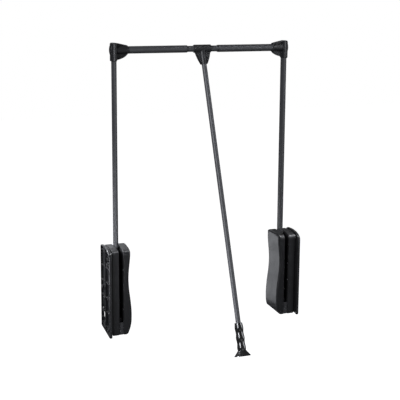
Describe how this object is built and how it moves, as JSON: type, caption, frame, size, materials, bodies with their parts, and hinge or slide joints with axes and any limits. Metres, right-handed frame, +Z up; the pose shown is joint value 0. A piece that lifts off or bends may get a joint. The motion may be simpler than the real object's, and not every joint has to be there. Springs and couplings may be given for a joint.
{
  "type": "pull down closet rod",
  "caption": "Wardrobe lift: a telescopic hanging rail on two sprung arms that a pull rod swings forward and down out of a wardrobe, and that returns by itself.",
  "frame": {"origin": "where the arms' swing axis meets the outer face of the left wall plate", "axes": "+X across the wardrobe to the right, +Z up, -Y towards the front"},
  "size_m": [0.6, 0.3294, 0.841],
  "materials": {
    "black_plastic": "moulded, satin",
    "gloss_plastic": "moulded, glossy",
    "painted_tube": "dark grey, satin",
    "dark_sheet": "black, satin",
    "bright_steel": "zinc plated",
    "spring_steel": "drawn wire",
    "coated_casting": "die cast, black coated",
    "black_steel": "blackened",
    "stop_rubber": "moulded"
  },
  "bodies": {
    "left_housing": {"left_wall_plate": "black_plastic", "left_outer_shell": "black_plastic", "left_chassis": "dark_sheet", "left_inner_cover": "black_plastic", "left_stop_block": "stop_rubber", "left_pivot_pin": "bright_steel", "left_chassis_screw_1": "bright_steel", "left_chassis_screw_2": "bright_steel", "left_chassis_screw_3": "bright_steel", "left_chassis_rivet_1": "bright_steel", "left_chassis_rivet_2": "bright_steel", "left_chassis_rivet_3": "bright_steel", "left_chassis_rivet_4": "bright_steel", "left_return_spring": "spring_steel", "left_damper_cylinder": "gloss_plastic", "left_damper_nut": "bright_steel"},
    "left_draw": {"left_draw_rod": "bright_steel", "left_spring_seat": "bright_steel", "left_damper_rod": "bright_steel"},
    "left_arm": {"left_arm_lever": "coated_casting", "left_crank_pin": "bright_steel", "left_arm_tube": "painted_tube", "left_corner_connector": "gloss_plastic", "left_connector_screw_1": "black_steel", "left_connector_screw_2": "black_steel", "left_rail_tube": "painted_tube", "left_rail_bush": "black_plastic"},
    "right_housing": {"right_wall_plate": "black_plastic", "right_outer_shell": "black_plastic", "right_chassis": "dark_sheet", "right_inner_cover": "black_plastic", "right_stop_block": "stop_rubber", "right_pivot_pin": "bright_steel", "right_chassis_screw_1": "bright_steel", "right_chassis_screw_2": "bright_steel", "right_chassis_screw_3": "bright_steel", "right_chassis_rivet_1": "bright_steel", "right_chassis_rivet_2": "bright_steel", "right_chassis_rivet_3": "bright_steel", "right_chassis_rivet_4": "bright_steel", "right_return_spring": "spring_steel", "right_damper_cylinder": "gloss_plastic", "right_damper_nut": "bright_steel"},
    "right_draw": {"right_draw_rod": "bright_steel", "right_spring_seat": "bright_steel", "right_damper_rod": "bright_steel"},
    "right_arm": {"right_arm_lever": "coated_casting", "right_crank_pin": "bright_steel", "right_arm_tube": "painted_tube", "right_corner_connector": "gloss_plastic", "right_connector_screw_1": "black_steel", "right_connector_screw_2": "black_steel", "right_rail_tube": "painted_tube", "right_rail_bush": "black_plastic"},
    "rail_centre": {"inner_rail_tube": "painted_tube"},
    "pull_rod_assembly": {"tee_connector": "gloss_plastic", "tee_screw": "black_steel", "pull_rod": "painted_tube", "pull_grip": "gloss_plastic"}
  },
  "joints": [
    {"name": "arm_swing", "type": "hinge", "parent": "left_housing", "child": "left_arm", "pos_m": [0, 0, 0], "axis": [1, 0, 0], "range_deg": [0, 102], "stiffness_Nm_per_rad": 7.2, "springref_deg": -29.79},
    {"name": "left_rail_slide", "type": "slide", "parent": "left_arm", "child": "rail_centre", "axis": [1, 0, 0], "range_m": [0, 0.115]},
    {"name": "right_rail_slide", "type": "slide", "parent": "rail_centre", "child": "right_arm", "axis": [1, 0, 0], "range_m": [0, 0.115]},
    {"name": "pull_rod_swing", "type": "hinge", "parent": "rail_centre", "child": "pull_rod_assembly", "pos_m": [0.3015, 0, 0.728], "axis": [-1, 0, 0], "range_deg": [-19.65, 110]},
    {"name": "right_arm_pivot", "type": "hinge", "parent": "right_arm", "child": "right_housing", "pos_m": [0.6, 0, 0], "axis": [1, 0, 0], "range_deg": [-102, 0]},
    {"name": "left_draw_slide", "type": "slide", "parent": "left_housing", "child": "left_draw", "axis": [0, 0, -1], "range_m": [0, 0.0374], "deforming": ["left_return_spring"]},
    {"name": "right_draw_slide", "type": "slide", "parent": "right_housing", "child": "right_draw", "axis": [0, 0, -1], "range_m": [0, 0.0374], "deforming": ["right_return_spring"]}
  ],
  "couplings": [
    {"joint": "right_arm_pivot", "follows": "arm_swing", "ratio": -1},
    {"joint": "left_draw_slide", "follows": "arm_swing", "m_per_rad": 0.02095},
    {"joint": "right_draw_slide", "follows": "arm_swing", "m_per_rad": 0.02095}
  ]
}
